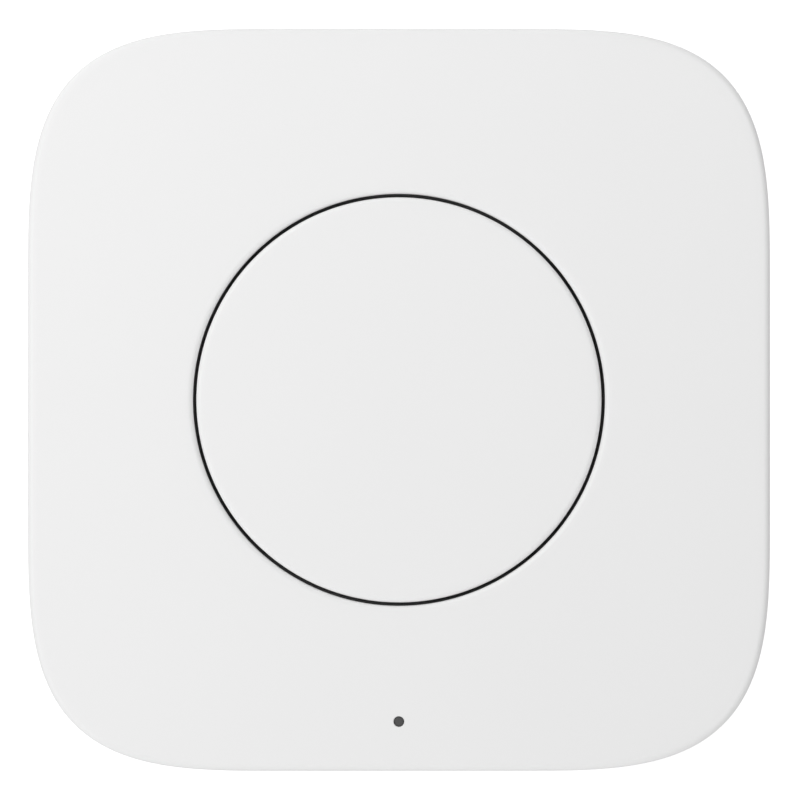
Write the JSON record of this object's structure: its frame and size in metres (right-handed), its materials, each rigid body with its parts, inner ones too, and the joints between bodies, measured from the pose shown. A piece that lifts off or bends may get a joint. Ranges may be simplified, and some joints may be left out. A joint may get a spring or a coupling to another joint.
{
  "type": "wireless push button",
  "caption": "Rounded-square wireless push button with a flush round press cap, a small status light, a coin cell behind a twist door and an adhesive ring on the back.",
  "frame": {"origin": "middle of the adhesive face, the lowest face of the part", "axes": "+Z out of the front face, -Y towards the side with the status light, +X to the right seen from the front"},
  "size_m": [0.045, 0.045, 0.0128],
  "materials": {
    "abs_white": "fine moulded texture, matt",
    "silicone_grey": "matt",
    "nitrile_grey": "satin",
    "smoked_polycarbonate": "clear, smoked",
    "foam_tape": "matt foam",
    "fr4_board": "solder mask, satin",
    "black_resin": "moulded epoxy, matt",
    "stainless_steel": "satin",
    "nickel_spring": "satin",
    "gold_copper": "gold flash",
    "barium_titanate": "matt",
    "tantalum_case": "moulded epoxy",
    "led_white": "matt",
    "led_resin": "clear resin",
    "cell_steel": "bright nickel plating",
    "polypropylene_grey": "matt",
    "electrode_black": "pressed powder"
  },
  "bodies": {
    "housing": {"front_housing": "abs_white", "light_pipe": "smoked_polycarbonate", "rear_housing": "abs_white", "adhesive_pad": "foam_tape", "circuit_board": "fr4_board", "board_screws": "stainless_steel", "switch_base": "black_resin", "switch_cover": "stainless_steel", "switch_dome": "stainless_steel", "switch_terminals": "nickel_spring", "led_base": "led_white", "led_lens": "led_resin", "radio_chip": "black_resin", "radio_crystal": "stainless_steel", "antenna_trace": "gold_copper", "ceramic_capacitors": "barium_titanate", "chip_resistors": "black_resin", "reservoir_capacitor": "tantalum_case", "test_pads": "gold_copper", "positive_contacts": "nickel_spring", "negative_contact": "nickel_spring", "cell_can": "cell_steel", "cell_gasket": "polypropylene_grey", "cell_cap": "cell_steel", "cell_core": "electrode_black"},
    "button": {"button_cap": "abs_white", "cushion_ring": "silicone_grey"},
    "stem": {"switch_stem": "black_resin"},
    "door": {"battery_door": "abs_white", "door_seal": "nitrile_grey"}
  },
  "joints": [
    {"name": "button_press", "type": "slide", "parent": "housing", "child": "button", "axis": [0, 0, -1], "range_m": [0, 0.0003], "stiffness_N_per_m": 4000, "springref_m": -0.0001, "deforming": ["switch_dome"]},
    {"name": "stem_press", "type": "slide", "parent": "housing", "child": "stem", "axis": [0, 0, -1], "range_m": [0, 0.0003]},
    {"name": "door_turn", "type": "hinge", "parent": "housing", "child": "door", "pos_m": [0, 0, 0], "axis": [0, 0, -1], "range_deg": [0, 45]}
  ],
  "couplings": [
    {"joint": "stem_press", "follows": "button_press", "ratio": 1}
  ]
}
